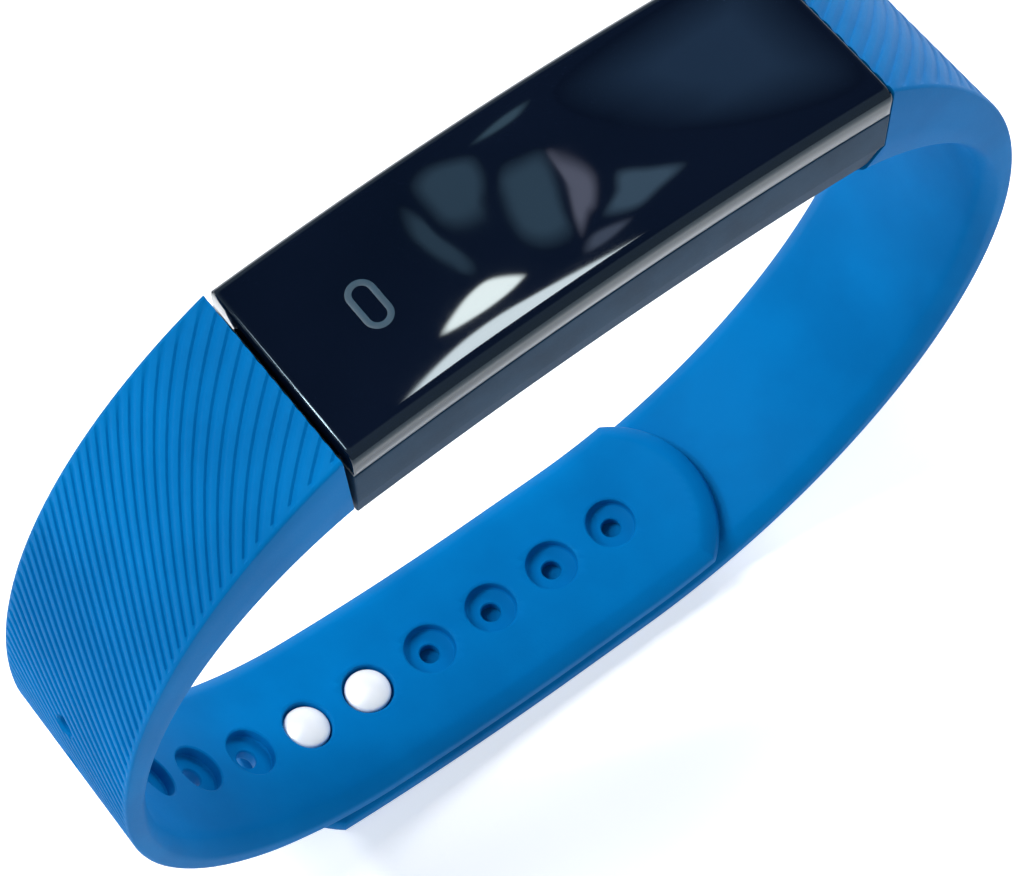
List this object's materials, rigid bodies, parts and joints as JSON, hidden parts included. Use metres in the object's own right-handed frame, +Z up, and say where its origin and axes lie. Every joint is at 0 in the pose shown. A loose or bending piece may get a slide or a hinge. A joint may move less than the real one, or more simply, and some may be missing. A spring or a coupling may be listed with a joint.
{
  "type": "fitness tracker band",
  "caption": "Slim fitness tracker band: curved glossy module on a blue holed rubber strap, closed in a loop by a stud clasp.",
  "frame": {"origin": "on the table under the middle of the module, in the middle of the strap's width, on the flat face that the closed band stands on", "axes": "+X along the module from the long strap to the short strap, +Y along the wrist's axis, +Z up through the middle of the lens"},
  "size_m": [0.0835, 0.0162, 0.0653],
  "materials": {
    "lens_gloss": "polished",
    "seal_grey": "satin",
    "panel_dark": "polished",
    "cable_film": "satin",
    "contact_gold": "polished",
    "frame_black": "matte",
    "board_green": "satin",
    "chip_black": "matte",
    "can_steel": "brushed",
    "ceramic": "matte",
    "foil": "satin",
    "foam_black": "matte",
    "tungsten": "satin",
    "case_grey": "matte",
    "strap_blue": "satin",
    "stud_silver": "satin"
  },
  "bodies": {
    "clasp_end": {"short_strap_tail": "strap_blue", "clasp_studs": "stud_silver"},
    "module": {"lens_cover": "lens_gloss", "lens_seal": "seal_grey", "display_panel": "panel_dark", "display_cable": "cable_film", "touch_electrode": "contact_gold", "inner_frame": "frame_black", "main_board": "board_green", "bluetooth_chip": "chip_black", "memory_chip": "chip_black", "motion_sensor": "chip_black", "charging_chip": "chip_black", "board_crystal": "can_steel", "chip_antenna": "ceramic", "battery_cell": "foil", "battery_pad": "foam_black", "motor_case": "can_steel", "plug_tongue": "frame_black", "charging_contacts": "contact_gold", "lower_case": "case_grey", "long_strap_upper": "strap_blue", "short_strap_upper": "strap_blue"},
    "holed_end": {"long_strap_tail": "strap_blue"},
    "motor_weight": {"motor_rotor": "tungsten"}
  },
  "joints": [
    {"name": "short_strap_flex", "type": "hinge", "parent": "clasp_end", "child": "module", "pos_m": [0.02253, 0, 0.00565], "axis": [0, 1, 0], "range_deg": [0, 55], "stiffness_Nm_per_rad": 0.02, "deforming": ["long_strap_tail"]},
    {"name": "long_strap_flex", "type": "hinge", "parent": "module", "child": "holed_end", "pos_m": [-0.03774, 0, 0.01511], "axis": [0, -1, 0], "range_deg": [0, 35], "stiffness_Nm_per_rad": 0.02, "deforming": ["long_strap_tail"]},
    {"name": "motor_spin", "type": "hinge", "parent": "module", "child": "motor_weight", "pos_m": [0.0161, 0, 0.0583], "axis": [0, 0, 1], "continuous": true}
  ]
}
